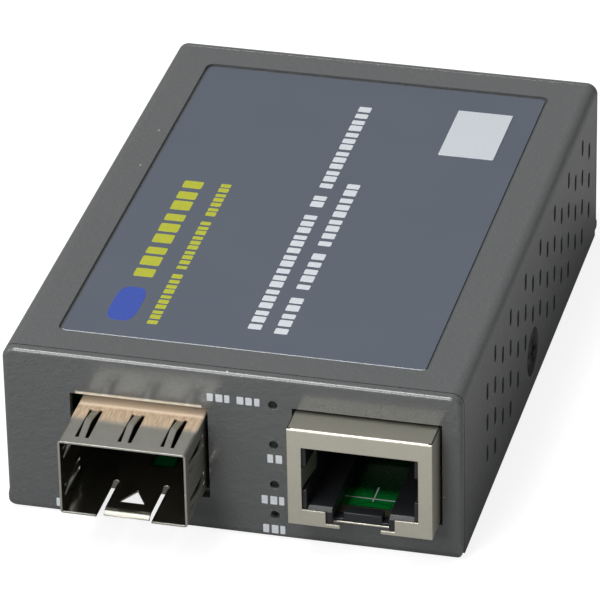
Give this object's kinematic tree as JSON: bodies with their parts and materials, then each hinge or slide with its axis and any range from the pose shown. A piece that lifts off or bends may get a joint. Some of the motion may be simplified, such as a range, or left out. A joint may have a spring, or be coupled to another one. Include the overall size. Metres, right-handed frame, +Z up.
{
  "type": "fibre media converter",
  "caption": "Small flat steel case with a transceiver cage and a network jack on its front, vented sides, power inlet and sliding switches behind.",
  "frame": {"origin": "centre of the case's underside", "axes": "+Z up, -Y towards the port side, +X to the right when the ports are faced"},
  "size_m": [0.0512, 0.0818, 0.0205],
  "materials": {
    "painted_panel": "fine textured dark grey paint",
    "screw_black": "black oxide with a worn drive",
    "label_film": "satin blue-grey printed film",
    "sticker_film": "plain white paper film",
    "board_green": "green solder mask",
    "plated_steel": "bright zinc or tin plate",
    "cage_plate": "plain stainless sheet",
    "black_moulding": "fine moulded black",
    "contact_gold": "gold flashed",
    "shield_plate": "warm nickel plate",
    "clear_moulding": "clear moulded",
    "lamp_white": "chip lamp",
    "switch_red": "moulded red",
    "slider_white": "moulded white",
    "chip_epoxy": "moulded black epoxy",
    "can_aluminium": "satin drawn can",
    "choke_ferrite": "dark ferrite",
    "capacitor_tan": "fired ceramic"
  },
  "bodies": {
    "converter": {"base_chassis": "painted_panel", "top_cover": "painted_panel", "cover_screws": "screw_black", "top_label": "label_film", "small_sticker": "sticker_film", "circuit_board": "board_green", "standoffs": "plated_steel", "board_screws": "plated_steel", "cage_upper": "cage_plate", "cage_lower": "cage_plate", "host_connector": "black_moulding", "host_contacts": "contact_gold", "jack_shield": "shield_plate", "jack_insert": "black_moulding", "jack_contacts": "contact_gold", "light_guide": "clear_moulding", "lamp_chips": "lamp_white", "inlet_block": "black_moulding", "inlet_pin": "plated_steel", "inlet_spring": "plated_steel", "switch_cover": "switch_red", "switch_base": "switch_red", "switch_pins": "plated_steel", "isolation_transformer": "chip_epoxy", "transformer_leads": "plated_steel", "converter_chip": "chip_epoxy", "converter_chip_leads": "plated_steel", "small_chips": "chip_epoxy", "small_chip_leads": "plated_steel", "crystal": "plated_steel", "tank_bases": "black_moulding", "tank_cans": "can_aluminium", "power_choke": "choke_ferrite", "chip_capacitors": "capacitor_tan", "chip_resistors": "chip_epoxy"},
    "slider_1": {"switch_slider_1": "slider_white"},
    "slider_2": {"switch_slider_2": "slider_white"},
    "slider_3": {"switch_slider_3": "slider_white"},
    "slider_4": {"switch_slider_4": "slider_white"}
  },
  "joints": [
    {"name": "slider_1_slide", "type": "slide", "parent": "converter", "child": "slider_1", "axis": [0, 0, 1], "range_m": [0, 0.0018]},
    {"name": "slider_2_slide", "type": "slide", "parent": "converter", "child": "slider_2", "axis": [0, 0, 1], "range_m": [0, 0.0018]},
    {"name": "slider_3_slide", "type": "slide", "parent": "converter", "child": "slider_3", "axis": [0, 0, 1], "range_m": [0, 0.0018]},
    {"name": "slider_4_slide", "type": "slide", "parent": "converter", "child": "slider_4", "axis": [0, 0, 1], "range_m": [0, 0.0018]}
  ]
}
